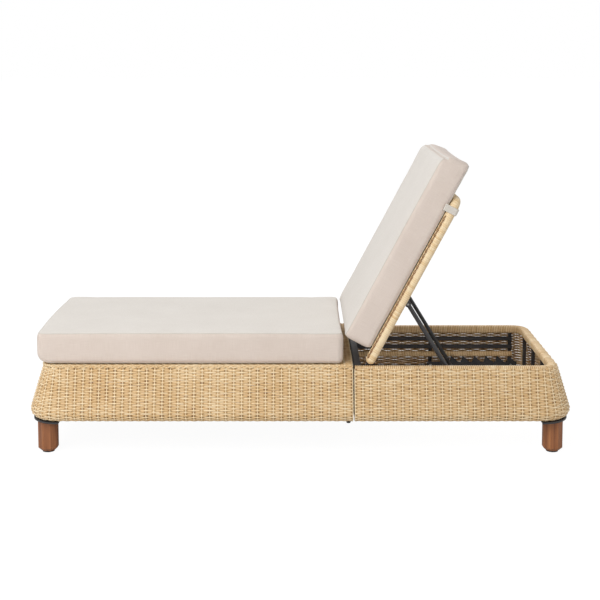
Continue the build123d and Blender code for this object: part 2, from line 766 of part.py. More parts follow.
def make_back_weave():
    """Woven sheet stretched inside the hoop."""
    low = lower_rail_place + lower_rail_diameter / 2 + seat_gap
    high = back_length - back_rail_diameter - seat_gap
    half_width = back_inner_y - seat_gap
    middle = (low + high) / 2
    sheet = Pos(middle, 0, back_weave_offset) * Box(high - low, 2 * half_width,
                                                   back_weave_thickness)
    top_corners = sheet.edges().filter_by(Axis.Z).group_by(Axis.X)[-1]
    sheet = fillet(top_corners, back_bend_radius - back_rail_diameter / 2)
    parts["back_woven_panel"] = raised(sheet)


def make_prop():
    """Ears under the backrest, pins, and the welded prop that stands in the racks."""
    ear_top = cross_member_offset - cross_member / 2
    outer_from = prop_leg_y + prop_tube_diameter / 2 + prop_side_gap
    inner_to = prop_leg_y - prop_tube_diameter / 2 - prop_side_gap
    center = (prop_pivot_place, -prop_pivot_drop)
    top_bar = Pos(prop_pivot_place, (ear_top - prop_pivot_drop) / 2) * Rectangle(
        cross_member, prop_pivot_drop + ear_top)
    outline = Pos(*center) * Circle(ear_radius) + top_bar
    outline -= Pos(prop_pivot_place, ear_top + ear_radius) * Rectangle(
        2 * ear_radius, 2 * ear_radius)
    outline -= Pos(*center) * Circle(prop_pin_radius + running_gap)
    inner_ear = plate_xz(outline, inner_to - ear_thickness, inner_to)
    outer_ear = plate_xz(outline, outer_from, outer_from + ear_thickness)
    ears = [raised(ear) for ear in (inner_ear, outer_ear)]
    parts["prop_ears"] = group(ears + [mirror(ear, about=Plane.XZ) for ear in ears])

    pin = cylinder_y(prop_pivot_place, -prop_pivot_drop, inner_to - ear_thickness,
                     outer_from + ear_thickness, prop_pin_radius)
    pin += cylinder_y(prop_pivot_place, -prop_pivot_drop,
                      inner_to - ear_thickness - prop_pin_head_height,
                      inner_to - ear_thickness, prop_pin_head_radius)
    parts["prop_pins"] = both_sides(raised(pin))

    radius = prop_tube_diameter / 2
    eye_half = radius + prop_eye_proud
    tip = prop_length + radius
    half_profile = make_face([
        Line((0, 0), (radius, 0)),
        Line((radius, 0), (radius, prop_length)),
        CenterArc((0, prop_length), radius, 0, 90),
        Line((0, tip), (0, 0)),
    ])
    along = Plane(origin=(pivot_x, prop_leg_y, pivot_z), x_dir=(0, 1, 0),
                  z_dir=(-sin(prop_angle), 0, -cos(prop_angle)))
    leg = along * revolve(half_profile, axis=Axis.Y)
    leg += cylinder_y(pivot_x, pivot_z, prop_leg_y - eye_half, prop_leg_y + eye_half,
                      prop_eye_radius)
    leg -= cylinder_y(pivot_x, pivot_z, prop_leg_y - eye_half - overrun,
                      prop_leg_y + eye_half + overrun, prop_pin_radius + running_gap)
    parts["right_prop_leg"] = leg
    parts["left_prop_leg"] = mirror(leg, about=Plane.XZ)
    foot_bar = cylinder_y(first_notch_place, notch_height, -prop_leg_y, prop_leg_y, radius)
    foot_bar = foot_bar - parts["right_prop_leg"] - parts["left_prop_leg"]
    parts["prop_foot_bar"] = foot_bar.solids().sort_by(SortBy.VOLUME)[-1]


def cushion_outline(length, width, inset, height):
    """Rounded rectangle whose sides are drawn in a little between the corners."""
    half_length = length / 2 - inset
    half_width = width / 2 - inset
    bend = max(cushion_corner - inset, cushion_least_corner)
    draw = cushion_draw_in
    slant = bend * (1 - cos(radians(45)))
    x_in, y_in = half_length - bend, half_width - bend
    x_mid, y_mid = half_length - slant, half_width - slant
    lines = []
    for sx, sy in ((1, 1), (-1, 1), (-1, -1), (1, -1)):
        side_start = (sx * half_length, sy * y_in)
        end_start = (sx * x_in, sy * half_width)
        lines.append(ThreePointArc(side_start, (sx * x_mid, sy * y_mid), end_start))
    for sx in (1, -1):
        lines.append(ThreePointArc((sx * half_length, -y_in), (sx * (half_length - draw), 0),
                                   (sx * half_length, y_in)))
    for sy in (1, -1):
        lines.append(ThreePointArc((-x_in, sy * half_width), (0, sy * (half_width - draw)),
                                   (x_in, sy * half_width)))
    return Pos(0, 0, height) * make_face(lines)


def cushion(length):
    """Box cushion: sides that belly between two drawn-in edges, under a low crown."""
    outlines = [cushion_outline(length, cushion_width, share * cushion_edge_in,
                                height * cushion_thickness)
                for height, share in zip(side_height_shares, side_inset_shares)]
    half_width = cushion_width / 2
    for share, height in zip(crown_inset_shares, crown_height_shares):
        outlines.append(cushion_outline(length, cushion_width, share * half_width,
                                        cushion_thickness + height * cushion_crown))
    return loft(outlines, ruled=True)


def make_cushions():
    """Seat cushion on the deck, back cushion on its panel, and the strap round the panel."""
    seat_length = seat_cushion_end - seat_cushion_start
    seat_middle = (seat_cushion_end + seat_cushion_start) / 2
    parts["seat_cushion"] = Pos(seat_middle, 0, deck_top + soft_gap) * cushion(seat_length)
    face = back_rail_diameter / 2 + soft_gap
    back_middle = back_cushion_start + back_cushion_length / 2
    back = raised(Pos(back_middle, 0, face) * cushion(back_cushion_length))
    parts["back_cushion"] = back

    inner_y = back_half_width + soft_gap
    inner_low = -back_rail_diameter / 2 - soft_gap
    top = face + strap_rise
    middle = (inner_low + top) / 2
    outer = Pos(strap_place, 0, middle - strap_thickness / 2) * Box(
        strap_width, 2 * (inner_y + strap_thickness), top - inner_low + strap_thickness)
    hollow = Pos(strap_place, 0, middle + overrun / 2) * Box(
        strap_width + overrun, 2 * inner_y, top - inner_low + overrun)
    strap = raised(outer - hollow) - back
    parts["cushion_strap"] = strap.solids().sort_by(SortBy.VOLUME)[-1]


make_skirts()
make_rails()
make_posts()
make_joint()
make_deck()
make_stringers()
make_legs()
make_racks()
make_hinge()
make_back_frame()
make_back_weave()
make_prop()
make_cushions()

os.makedirs("parts", exist_ok=True)
for name, shape in parts.items():
    export_step(shape, "parts/" + name + ".step")
print("prop length", round(prop_length, 2), "pivot", round(pivot_x, 2), round(pivot_z, 2))
print("prop turn", round(prop_turn, 3), "per back turn", round(prop_turn / rest_angle, 5))
print("foot at flat", round(flat_foot_x, 2), "nodes", len(parts))
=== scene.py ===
import json
import math

import bpy
import numpy as np
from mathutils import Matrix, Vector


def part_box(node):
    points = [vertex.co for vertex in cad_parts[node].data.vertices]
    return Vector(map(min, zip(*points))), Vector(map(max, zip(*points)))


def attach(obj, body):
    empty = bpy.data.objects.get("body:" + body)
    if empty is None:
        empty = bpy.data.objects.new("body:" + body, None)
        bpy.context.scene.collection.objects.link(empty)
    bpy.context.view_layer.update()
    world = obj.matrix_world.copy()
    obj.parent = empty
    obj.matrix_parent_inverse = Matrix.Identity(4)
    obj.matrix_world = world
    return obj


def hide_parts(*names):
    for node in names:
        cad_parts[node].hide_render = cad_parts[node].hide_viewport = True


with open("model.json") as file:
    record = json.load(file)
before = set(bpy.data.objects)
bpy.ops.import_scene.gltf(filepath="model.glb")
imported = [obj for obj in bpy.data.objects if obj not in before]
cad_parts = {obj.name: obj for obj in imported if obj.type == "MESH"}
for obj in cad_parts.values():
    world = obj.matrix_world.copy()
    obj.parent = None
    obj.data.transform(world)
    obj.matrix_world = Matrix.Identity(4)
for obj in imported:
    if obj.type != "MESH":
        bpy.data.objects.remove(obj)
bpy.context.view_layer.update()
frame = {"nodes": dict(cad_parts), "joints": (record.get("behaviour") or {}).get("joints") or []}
print("frame loaded,", len(frame["nodes"]), "solids")


# Camera and studio

camera = {
    "place": (0.0, -4.712, 1.472),
    "lookDown": math.radians(5.47),
    "lens": 73.2,
    "shift": (-0.0006, -0.22),
    "clipEnd": 200.0,
}
studio = {
    "aimHeight": 0.3,
    "keyPlace": (-2.1, -3.7, 3.4),
    "keySize": 3.0,
    "keyPower": 138.0,
    "fillPlace": (4.2, -3.4, 2.6),
    "fillSize": 3.0,
    "fillPower": 6.0,
    "backPlace": (-0.8, 4.2, 4.6),
    "backSize": 3.5,
    "backPower": 95.0,
    "skyLight": 0.50,
    "floorReach": 60.0,
    "floorColor": (0.82, 0.82, 0.82, 1.0),
    "floorSeen": (0.10, 0.10, 0.10, 1.0),
    "floorGlow": 0.955,
}


def addCamera():
    data = bpy.data.cameras.new("chaiseCamera")
    data.lens = camera["lens"]
    data.shift_x, data.shift_y = camera["shift"]
    data.clip_end = camera["clipEnd"]
    eye = bpy.data.objects.new("chaiseCamera", data)
    eye.location = camera["place"]
    eye.rotation_euler = (math.pi / 2 - camera["lookDown"], 0, 0)
    bpy.context.scene.collection.objects.link(eye)
    bpy.context.scene.camera = eye


def addLamp(name, place, size, power):
    # a square soft lamp that looks at the middle of the chaise
    data = bpy.data.lights.new(name, "AREA")
    data.size = size
    data.energy = power
    lamp = bpy.data.objects.new(name, data)
    lamp.location = place
    aim = np.array(place) - (0.0, 0.0, studio["aimHeight"])
    lamp.rotation_euler = (math.atan2(math.hypot(aim[0], aim[1]), aim[2]), 0,
                           math.atan2(aim[1], aim[0]) + math.pi / 2)
    bpy.context.scene.collection.objects.link(lamp)


# Shader writing: a Value wraps one socket, so that sums on it add Math nodes

class Value:
    def __init__(self, paint, socket):
        self.paint = paint
        self.socket = socket

    def math(self, operation, *others):
        sockets = dict(enumerate((self, *others)))
        return self.paint.add("Math", {"operation": operation}, sockets)

    def __add__(self, other):
        return self.math("ADD", other)

    def __sub__(self, other):
        return self.math("SUBTRACT", other)

    def __rsub__(self, other):
        return (self * -1.0) + other

    def __mul__(self, other):
        return self.math("MULTIPLY", other)

    __radd__ = __add__
    __rmul__ = __mul__

    def clamp(self):
        return self.paint.add("Clamp", {}, {0: self})

    def out(self, name):
        # another output of the same node
        return Value(self.paint, self.socket.node.outputs[name])


class Paint:
    # one material; add() makes any node and gives back its output as a Value
    def __init__(self, name, owner=None):
        self.owner = owner or bpy.data.materials.new(name)
        self.owner.use_nodes = True
        self.tree = self.owner.node_tree
        self.tree.nodes.clear()

    def add(self, kind, settings, sockets, out=0):
        node = self.tree.nodes.new("ShaderNode" + kind)
        for key, value in settings.items():
            if key == "stops":
                self.setStops(node.color_ramp, value)
            else:
                setattr(node, key, value)
        for key, value in sockets.items():
            if isinstance(value, Value):
                self.tree.links.new(value.socket, node.inputs[key])
            else:
                node.inputs[key].default_value = value
        return Value(self, node.outputs[out]) if len(node.outputs) else node

    def setStops(self, ramp, stops):
        while len(ramp.elements) < len(stops):
            ramp.elements.new(0.5)
        for element, (place, color) in zip(ramp.elements, stops):
            element.position = place
            element.color = color

    def ramp(self, factor, *stops):
        # a colour that follows a value through stops, each a place and a colour
        return self.add("ValToRGB", {"stops": stops}, {0: factor})

    def blend(self, factor, first, second):
        # a colour between two colours
        return self.add("Mix", {"data_type": "RGBA"}, {0: factor, 6: first, 7: second}, 2)

    def noise(self, place, scale, detail=3.0, rough=0.5):
        return self.add("TexNoise", {}, {"Vector": place, "Scale": scale, "Detail": detail,
                                         "Roughness": rough})

    def stretch(self, place, scale):
        # the same place with each of its directions scaled
        return self.add("Mapping", {}, {0: place, 3: scale})

    def objectPlace(self):
        return self.add("TexCoord", {}, {}, "Object")

    def attribute(self, name, out="Vector"):
        return self.add("Attribute", {"attribute_name": name}, {}, out)

    def parts(self, vector):
        return self.add("SeparateXYZ", {}, {0: vector})

    def bump(self, height, strength, distance):
        return self.add("Bump", {}, {"Strength": strength, "Distance": distance, "Height": height})

    def finish(self, sockets):
        shader = self.add("BsdfPrincipled", {}, sockets)
        self.add("OutputMaterial", {}, {0: shader})
        return self.owner


def asColor(r, g, b):
    # a colour given as it is seen, 0 to 255, turned into light
    seen = np.array((r, g, b)) / 255
    light = np.where(seen <= 0.04045, seen / 12.92, ((seen + 0.055) / 1.055) ** 2.4)
    return (*(float(x) for x in light), 1.0)


def addWorld():
    sky = bpy.data.worlds.new("studioSky")
    bpy.context.scene.world = sky
    paint = Paint("studioSky", sky)
    ray = paint.add("LightPath", {}, {})
    seen = (ray + ray.out("Is Glossy Ray") + ray.out("Is Transmission Ray")).clamp()
    strength = studio["skyLight"] + seen * (1 - studio["skyLight"])
    light = paint.add("Background", {}, {"Color": (1, 1, 1, 1), "Strength": strength})
    paint.add("OutputWorld", {}, {0: light})


def floorPaint():
    # pale and matt, and lifted towards white only where the camera looks at it
    paint = Paint("paleFloor")
    seen = paint.add("LightPath", {}, {})
    plain = paint.add("BsdfDiffuse", {}, {"Color": studio["floorColor"]})
    faint = paint.add("BsdfDiffuse", {}, {"Color": studio["floorSeen"]})
    glow = paint.add("Emission", {}, {"Color": (1, 1, 1, 1), "Strength": studio["floorGlow"]})
    lifted = paint.add("AddShader", {}, {0: faint, 1: glow})
    both = paint.add("MixShader", {}, {0: seen, 1: plain, 2: lifted})
    paint.add("OutputMaterial", {}, {0: both})
    return paint.owner


def addFloor():
    reach = studio["floorReach"]
    data = bpy.data.meshes.new("floor")
    data.from_pydata([(-reach, -reach, 0), (reach, -reach, 0), (reach, reach, 0),
                      (-reach, reach, 0)], [], [(0, 1, 2, 3)])
    floor = bpy.data.objects.new("floor", data)
    floor.data.materials.append(floorPaint())
    bpy.context.scene.collection.objects.link(floor)


addCamera()
for label in ("key", "fill", "back"):
    addLamp(label + "Lamp", studio[label + "Place"], studio[label + "Size"], studio[label + "Power"])
addWorld()
addFloor()
bpy.context.scene.view_settings.view_transform = "Standard"
print("camera and studio ready")


# Meshes from arrays

def unit(vectors):
    return vectors / np.linalg.norm(vectors, axis=-1, keepdims=True)


def signedVolume(points, faces):
    # sum of the tetrahedra that each face's fan makes with the origin
    first = points[faces[:, 0]]
    total = 0.0
    for k in range(1, faces.shape[1] - 1):
        total += np.einsum("ij,ij->i", first, np.cross(points[faces[:, k]], points[faces[:, k + 1]])).sum()
    return total / 6


def meshPiece(name, points, faceSets, facts=None):
    # a closed piece from points and arrays of faces, turned so that the faces look outwards, and
    # facts kept at its points under their names
    points = points.reshape(-1, 3)
    if sum(signedVolume(points, faces) for faces in faceSets) < 0:
        faceSets = [faces[:, ::-1] for faces in faceSets]
    corners = np.concatenate([faces.ravel() for faces in faceSets]).astype(np.int32)
    sizes = np.concatenate([np.full(len(faces), faces.shape[1]) for faces in faceSets])
    starts = (np.cumsum(sizes) - sizes).astype(np.int32)
    data = bpy.data.meshes.new(name)
    data.vertices.add(len(points))
    data.vertices.foreach_set("co", points.astype(np.float32).ravel())
    data.loops.add(len(corners))
    data.loops.foreach_set("vertex_index", corners)
    data.polygons.add(len(starts))
    data.polygons.foreach_set("loop_start", starts)
    data.update(calc_edges=True)
    data.polygons.foreach_set("use_smooth", np.full(len(starts), True))
    for key, values in (facts or {}).items():
        kind, field = ("FLOAT", "value") if values.size == len(points) else ("FLOAT_VECTOR", "vector")
        attribute = data.attributes.new(key, kind, "POINT")
        attribute.data.foreach_set(field, values.astype(np.float32).ravel())
    piece = bpy.data.objects.new(name, data)
    bpy.context.scene.collection.objects.link(piece)
    return piece


def ringFaces(strands, steps, around, closed=False):
    # faces of many tubes at once, each a run of rings, with a flat cap on every open end
    ring = np.arange(around)
    step = np.arange(steps if closed else steps - 1)
    strand = np.arange(strands) * steps * around
    low = strand[:, None, None] + step[None, :, None] * around
    high = strand[:, None, None] + ((step + 1) % steps)[None, :, None] * around
    after = (ring + 1) % around
    quads = np.stack([low + ring, low + after, high + after, high + ring], axis=-1).reshape(-1, 4)
    if closed:
        return [quads]
    first = strand[:, None] + ring[::-1]
    last = strand[:, None] + (steps - 1) * around + ring
    return [quads, np.concatenate([first, last])]


def strandTubes(name, centers, outward, across, halfThick, halfWide, around, tone, closed=False,
                power=1.0, lap=None):
    # flattened strands: each point is the centre line plus an ellipse in the outward and across
    # directions, and a power under 1 squares the ellipse
    strands, steps = centers.shape[:2]
    angle = math.pi / 2 + np.arange(around) * (2 * math.pi / around)
    cosA, sinA = np.cos(angle), np.sin(angle)
    squareCos = np.sign(cosA) * np.abs(cosA) ** power
    squareSin = np.sign(sinA) * np.abs(sinA) ** power
    thick = np.broadcast_to(halfThick, (strands, steps))[..., None, None] * squareCos[:, None]
    wide = np.broadcast_to(halfWide, (strands, steps))[..., None, None] * squareSin[:, None]
    points = centers[:, :, None] + thick * outward[:, :, None] + wide * across[:, :, None]
    run = np.linalg.norm(np.diff(centers, axis=1), axis=-1)
    along = np.concatenate([np.zeros((strands, 1)), np.cumsum(run, axis=1)], axis=1)
    facts = np.empty((strands, steps, around, 3))
    facts[..., 0] = along[..., None]
    facts[..., 1] = (angle / (2 * math.pi))[None, None]
    facts[..., 2] = np.broadcast_to(tone, (strands, steps))[..., None]
    known = {"strand": facts.reshape(-1, 3)}
    if lap is not None:
        known["lap"] = np.repeat(lap.ravel(), around)
    return meshPiece(name, points, ringFaces(strands, steps, around, closed), known)


def settle(piece, body, paint, slot, *nodes):
    # gives a piece its finish, hangs it on what it rides on and hides the solids it takes the place of
    piece.data.materials.clear()
    piece.data.materials.append(paint)
    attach(piece, body)
    if nodes:
        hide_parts(*nodes)
    return piece


# Wicker strand

wicker = {
    "pale": asColor(245, 222, 183),
    "light": asColor(230, 197, 148),
    "body": asColor(214, 176, 122),
    "dark": asColor(146, 101, 56),
    "rough": 0.5,
    "tone": -0.30,
    "strandShare": 0.9,
    "grooveShare": 0.7,
    "patchShare": 0.5,
    "grooveScale": (9.0, 26.0, 31.0),
    "patchScale": 5.0,
    "grooveDepth": 0.0006,
    # the crest values paint a highlight where a strand crosses in front, the dive values paint shade where
    # it dives behind
    "crestStart": 0.92,
    "crestGain": 16.0,
    "crestHighlight": 0.34,
    "diveStart": -0.45,
    "diveGain": 2.4,
    "diveShade": 0.50,
    # rails take a weaker share of the painted highlight and painted shade
    "railLap": 0.35,
    "railTone": 0.22,
}


def wickerPaint(name, shadeAndHighlightShare=0.0, lift=0.0):
    # round resin strand: tone by strand, fine grooves along it, and slow patches over the weave.
    # A woven or wound strand gets a painted highlight on its crests and painted shade where it dives
    # behind: lap counts both.
    paint = Paint(name)
    strand = paint.attribute("strand")
    tone = paint.parts(strand).out("Z")
    grooves = paint.noise(paint.stretch(strand, wicker["grooveScale"]), 1.0, 3.0, 0.6)
    patches = paint.noise(paint.objectPlace(), wicker["patchScale"], 2.0, 0.5)
    shade = tone * wicker["strandShare"] + grooves * wicker["grooveShare"]
    shade = shade + patches * wicker["patchShare"] + (wicker["tone"] + lift)
    if shadeAndHighlightShare:
        # painted highlight on the crests, painted shade at the dives
        wave = (paint.attribute("lap", "Fac") * math.pi).math("COSINE")
        crest = ((wave - wicker["crestStart"]) * wicker["crestGain"]).clamp()
        dive = ((wicker["diveStart"] - wave) * wicker["diveGain"]).clamp()
        shade = shade + (crest * wicker["crestHighlight"] - dive * wicker["diveShade"]) * shadeAndHighlightShare
    color = paint.ramp(shade.clamp(), (0.02, wicker["dark"]), (0.45, wicker["body"]),
                       (0.75, wicker["light"]), (1.0, wicker["pale"]))
    normal = paint.bump(grooves, 0.35, wicker["grooveDepth"])
    rough = wicker["rough"] + grooves * 0.2 - 0.1
    return paint.finish({"Base Color": color, "Roughness": rough, "Normal": normal})


strandPaint = wickerPaint("wickerStrand")
wovenPaint = wickerPaint("wickerWoven", 1.0)
railPaint = wickerPaint("wickerRail", wicker["railLap"], wicker["railTone"])


# Woven skirts of the base

skirt = {
    "curlRadius": 0.032,
    "rimSetIn": 0.049,
    "hemSetIn": 0.0497,
    "borderGap": 0.0042,
    "rimCornerRadius": 0.070,
    "walkRadius": 0.095,
    "stakePitch": 0.0290,
    "rowPitch": 0.00625,
    "halfThick": 0.0018,
    "halfWide": 0.0032,
    "swing": 0.0019,
    "stakeRadius": 0.0019,
    "stepsPerStake": 4,
    "waver": 0.0003,
    "crestWide": 0.04,
    "sharpness": 1.6,
    "tone": 0.5,
    "toneWobble": 0.16,
    "toneSpread": 0.07,
    # stakes are painted paler than the strands as a painted highlight
    "stakeHighlightTone": 0.85,
}
wobble = {
    "waves": 5,
    "leastPitch": 1.5,
    "mostPitchShare": 0.12,
    "gain": 1.6,
}
skirtLow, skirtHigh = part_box("front_skirt")
rearSkirtLow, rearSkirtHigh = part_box("rear_skirt")
cornerReach = skirt["rimSetIn"] + skirt["rimCornerRadius"]
cornerX = rearSkirtHigh.x - cornerReach
cornerY = rearSkirtHigh.y - cornerReach
curlU = cornerReach - skirt["curlRadius"]
curlZ = skirtLow.z + skirt["curlRadius"]
hemSpan = skirt["hemSetIn"] - skirt["curlRadius"]
leanU = skirt["rimCornerRadius"] - curlU
leanZ = skirtHigh.z - curlZ
lean = math.atan2(leanZ, leanU) - math.acos(skirt["curlRadius"] / math.hypot(leanU, leanZ))


def track(end, jointX, t):
    # walks round a module at one distance from its corner line: along the near side from the joint,
    # round the corner, across the end, round the other corner and back along the far side.
    # Gives the point on the corner line, the level direction out of the module and the whole
    # length of the walk.
    radius = skirt["walkRadius"]
    side = cornerX - abs(jointX) if end > 0 else cornerX + jointX
    bend = radius * math.pi / 2
    across = 2 * cornerY
    stops = np.cumsum([0, side, bend, across, bend, side])
    x = cornerX - side + np.clip(t, 0, side) - np.clip(t - stops[4], 0, side)
    y = -cornerY + np.clip(t - stops[2], 0, across)
    turn = (np.clip(t - stops[1], 0, bend) + np.clip(t - stops[3], 0, bend)) / radius
    angle = turn - math.pi / 2
    base = np.stack([end * x, y, np.zeros_like(x)], axis=-1)
    level = np.stack([end * np.cos(angle), np.sin(angle), np.zeros_like(x)], axis=-1)
    return base, level, stops[5]


def skirtCurve(v, inset):
    # upright section of the skirt at distance v from its lower edge: a flat hem, a quarter curl,
    # then a straight lean. Gives the distance out, the height, and both parts of its normal.
    radius = skirt["curlRadius"] - inset
    bend = radius * (lean + math.pi / 2)
    climb = v - hemSpan
    angle = np.clip(climb, 0, bend) / radius - math.pi / 2
    rise = np.clip(climb - bend, 0, None)
    u = curlU + radius * np.cos(angle) - rise * math.sin(lean) + np.clip(climb, None, 0)
    z = curlZ + radius * np.sin(angle) + rise * math.cos(lean)
    return u, z, np.cos(angle), np.sin(angle)


def skirtSpan(top, inset):
    # distance along the section from the lower edge up to a height
    radius = skirt["curlRadius"] - inset
    start = curlZ + radius * math.sin(lean)
    return hemSpan + radius * (lean + math.pi / 2) + (top - start) / math.cos(lean)


def skirtSurface(end, jointX, inset):
    # a function of the walk t and the climb v that gives points, outward and upward directions
    def surface(t, v):
        base, level, _ = track(end, jointX, t)
        u, z, outU, outZ = skirtCurve(v, inset)
        up = np.array((0.0, 0.0, 1.0))
        point = base + level * u[..., None] + up * z[..., None]
        outward = level * outU[..., None] + up * outZ[..., None]
        upward = up * outU[..., None] - level * outZ[..., None]
        return point, outward, upward
    return surface


def slowNoise(rows, steps, seed):
    # smooth unrepeated wobble between about -1 and 1 for each row: a few sines of random pitch
    draw = np.random.default_rng(seed)
    shape = (wobble["waves"], rows, 1)
    pitch = draw.uniform(wobble["leastPitch"], wobble["mostPitchShare"] * steps, shape)
    shift = draw.uniform(0, 2 * math.pi, shape)
    place = np.linspace(0, 1, steps)
    return np.sin(2 * math.pi * pitch * place + shift).mean(axis=0) * wobble["gain"]


def weave(name, surface, spanT, spanV, look, seed, around=6):
    # plain weave on any surface: level strands swing over one stake and under the next, each row
    # the other way round from the last, and round stakes stand between them
    stakes = round(spanT / look["stakePitch"])
    rows = round(spanV / look["rowPitch"])
    steps = stakes * look["stepsPerStake"] + 1
    draw = np.random.default_rng(seed)
    t = np.linspace(0, spanT, steps)
    v = (np.arange(rows) + 0.5) * spanV / rows
    # lap is the over and under phase; the woven paint turns it into painted highlight on crests and
    # painted shade at dives
    lap = np.linspace(0, stakes, steps)[None] + np.arange(rows)[:, None]
    wave = np.cos(math.pi * lap)
    wave = np.sign(wave) * np.abs(wave) ** look["sharpness"]
    waver = look["waver"] * slowNoise(rows, steps, seed)
    point, outward, upward = surface(*np.broadcast_arrays(t[None], v[:, None] + waver))
    point = point + outward * (look["swing"] * wave)[..., None]
    tone = look["tone"] + look["toneWobble"] * slowNoise(rows, steps, seed + 1)
    tone = tone + draw.normal(0, look["toneSpread"], (rows, 1))
    halfWide = look["halfWide"] * spanV / rows / look["rowPitch"] * (1 + look["crestWide"] * wave)
    strands = strandTubes(name + "Strands", point, outward, upward, look["halfThick"], halfWide,
                          around, tone, lap=lap)
    climb = np.linspace(0, spanV, max(4, rows // 2))
    place = np.linspace(0, spanT, stakes + 1)
    point, outward, upward = surface(*np.broadcast_arrays(place[:, None], climb[None]))
    sideways = unit(np.cross(outward, upward))
    # the stakes' pale tone is a painted highlight
    tone = look["stakeHighlightTone"] + draw.normal(0, look["toneSpread"], (stakes + 1, 1))
    radius = look["stakeRadius"]
    uprights = strandTubes(name + "Stakes", point, outward, sideways, radius, radius, around, tone)
    return strands, uprights


def makeSkirts():
    inset = skirt["swing"] + skirt["halfThick"]
    for name, end, jointX, top, seed in (
            ("front", -1, skirtHigh.x, skirtHigh.z - skirt["borderGap"], 11),
            ("rear", 1, rearSkirtLow.x, rearSkirtHigh.z, 23)):
        length = float(track(end, jointX, np.zeros(1))[2])
        surface = skirtSurface(end, jointX, inset)
        strands, stakes = weave(name + "Skirt", surface, length, skirtSpan(top, inset), skirt, seed)
        settle(strands, "base", wovenPaint, "wicker", name + "_skirt")
        settle(stakes, "base", strandPaint, "wicker")


makeSkirts()
print("skirts woven")


# Wicker wrapped round rails

wrapping = {
    "pitch": 0.0072,
    "bulge": 0.0012,
    "tilt": 0.0016,
    "stepsPerWrap": 4,
    "around": 20,
    "grooveShare": 0.7,
    "tone": 0.5,
    "toneSpread": 0.13,
    "endLeast": 0.02,
    "rimHalf": 0.015,
    "rimSquareness": 4.2,
    "midSquareness": 3.0,
}


def wrapRail(name, path, length, half, square, seed, endRound=False, relief=1.0):
    # strands wound round a rail: each wrap is a tilted ring that bulges between two grooves.
    # path gives the centre line and two directions across it; the section is a superellipse.
    draw = np.random.default_rng(seed)
    wraps = max(2, round(length / wrapping["pitch"]))
    per = wrapping["stepsPerWrap"]
    steps = wraps * per + 1
    angle = np.arange(wrapping["around"]) * (2 * math.pi / wrapping["around"])
    cosA, sinA = np.cos(angle), np.sin(angle)
    section = (np.abs(cosA) ** square + np.abs(sinA) ** square) ** (-1 / square)
    local = (np.arange(steps) % per) / per * 2 - 1
    bulge = wrapping["bulge"] * relief * np.sqrt(np.clip(1 - local ** 2, 0, 1))
    inner = half - wrapping["bulge"] * relief * wrapping["grooveShare"]
    t = np.linspace(0, length, steps)
    fade = np.clip(np.minimum(t, length - t) / wrapping["pitch"], 0, 1)
    lift = inner + bulge
    if endRound:
        reach = np.clip(np.minimum(t, length - t) / half, 0, 1)
        lift = lift * np.sqrt(np.clip(1 - (1 - reach) ** 2, wrapping["endLeast"], 1))
    shift = wrapping["tilt"] * fade[:, None] * sinA[None]
    point, sideA, sideB = path(np.clip(t[:, None] + shift, 0, length))
    radius = lift[:, None] * section[None]
    points = point + (radius * cosA)[..., None] * sideA + (radius * sinA)[..., None] * sideB
    index = np.minimum(np.arange(steps) // per, wraps - 1)
    tone = (wrapping["tone"] + draw.normal(0, wrapping["toneSpread"], wraps))[index]
    facts = np.empty((steps, wrapping["around"], 3))
    facts[..., 0] = angle[None] * half
    facts[..., 1] = t[:, None] / wrapping["pitch"]
    facts[..., 2] = tone[:, None]
    faces = ringFaces(1, steps, wrapping["around"])
    # lap makes the paint put a painted highlight on each wrap's bulge and painted shade in its grooves
    lap = np.repeat(2 * np.arange(steps) / per + 1, wrapping["around"])
    return meshPiece(name, points, faces, {"strand": facts.reshape(-1, 3), "lap": lap})


def straightPath(start, direction, sideA, sideB):
    # a path for wrapRail along a straight line
    def path(t):
        point = np.array(start) + t[..., None] * np.array(direction)
        return point, np.broadcast_to(sideA, point.shape), np.broadcast_to(sideB, point.shape)
    return path


def wrapRearRim():
    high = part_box("rear_rim_wrap")[1]
    half = wrapping["rimHalf"]
    rimU = high.y - cornerY - half
    rimZ = high.z - half

    def path(t):
        base, level, _ = track(1, rearSkirtLow.x, t)
        up = np.broadcast_to((0.0, 0.0, 1.0), level.shape)
        return base + level * rimU + up * rimZ, level, up

    length = float(track(1, rearSkirtLow.x, np.zeros(1))[2])
    rim = wrapRail("rearRimWrap", path, length, half, wrapping["rimSquareness"], seed=31)
    settle(rim, "base", wovenPaint, "wicker", "rear_rim_wrap")


def wrapMidRails():
    low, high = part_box("rear_mid_rails")
    half = (high.z - low.z) / 2
    middle = (low.z + high.z) / 2
    for side, name in ((-1, "leftMidRailWrap"), (1, "rightMidRailWrap")):
        start = (low.x, side * (high.y - half), middle)
        path = straightPath(start, (1, 0, 0), (0, 1, 0), (0, 0, 1))
        rail = wrapRail(name, path, high.x - low.x, half, wrapping["midSquareness"], seed=41 + side)
        settle(rail, "base", wovenPaint, "wicker", *(["rear_mid_rails"] if side > 0 else []))


wrapRearRim()
wrapMidRails()
print("rails wrapped")


# Seat deck and its braided border

deck = {
    **skirt,
    "stepsPerStake": 2,
    "cornerRadius": 0.070,
}
border = {
    "period": 0.061,
    "stepsPerPeriod": 14,
    "halfThick": 0.0019,
    "halfWide": 0.0024,
    "sway": 0.0040,
    "lift": 0.0019,
    "setIn": 0.0035,
    "rise": 0.0015,
    "tiltShares": (0.75, 0.65),
    "tones": (0.45, 0.55, 0.62),
}


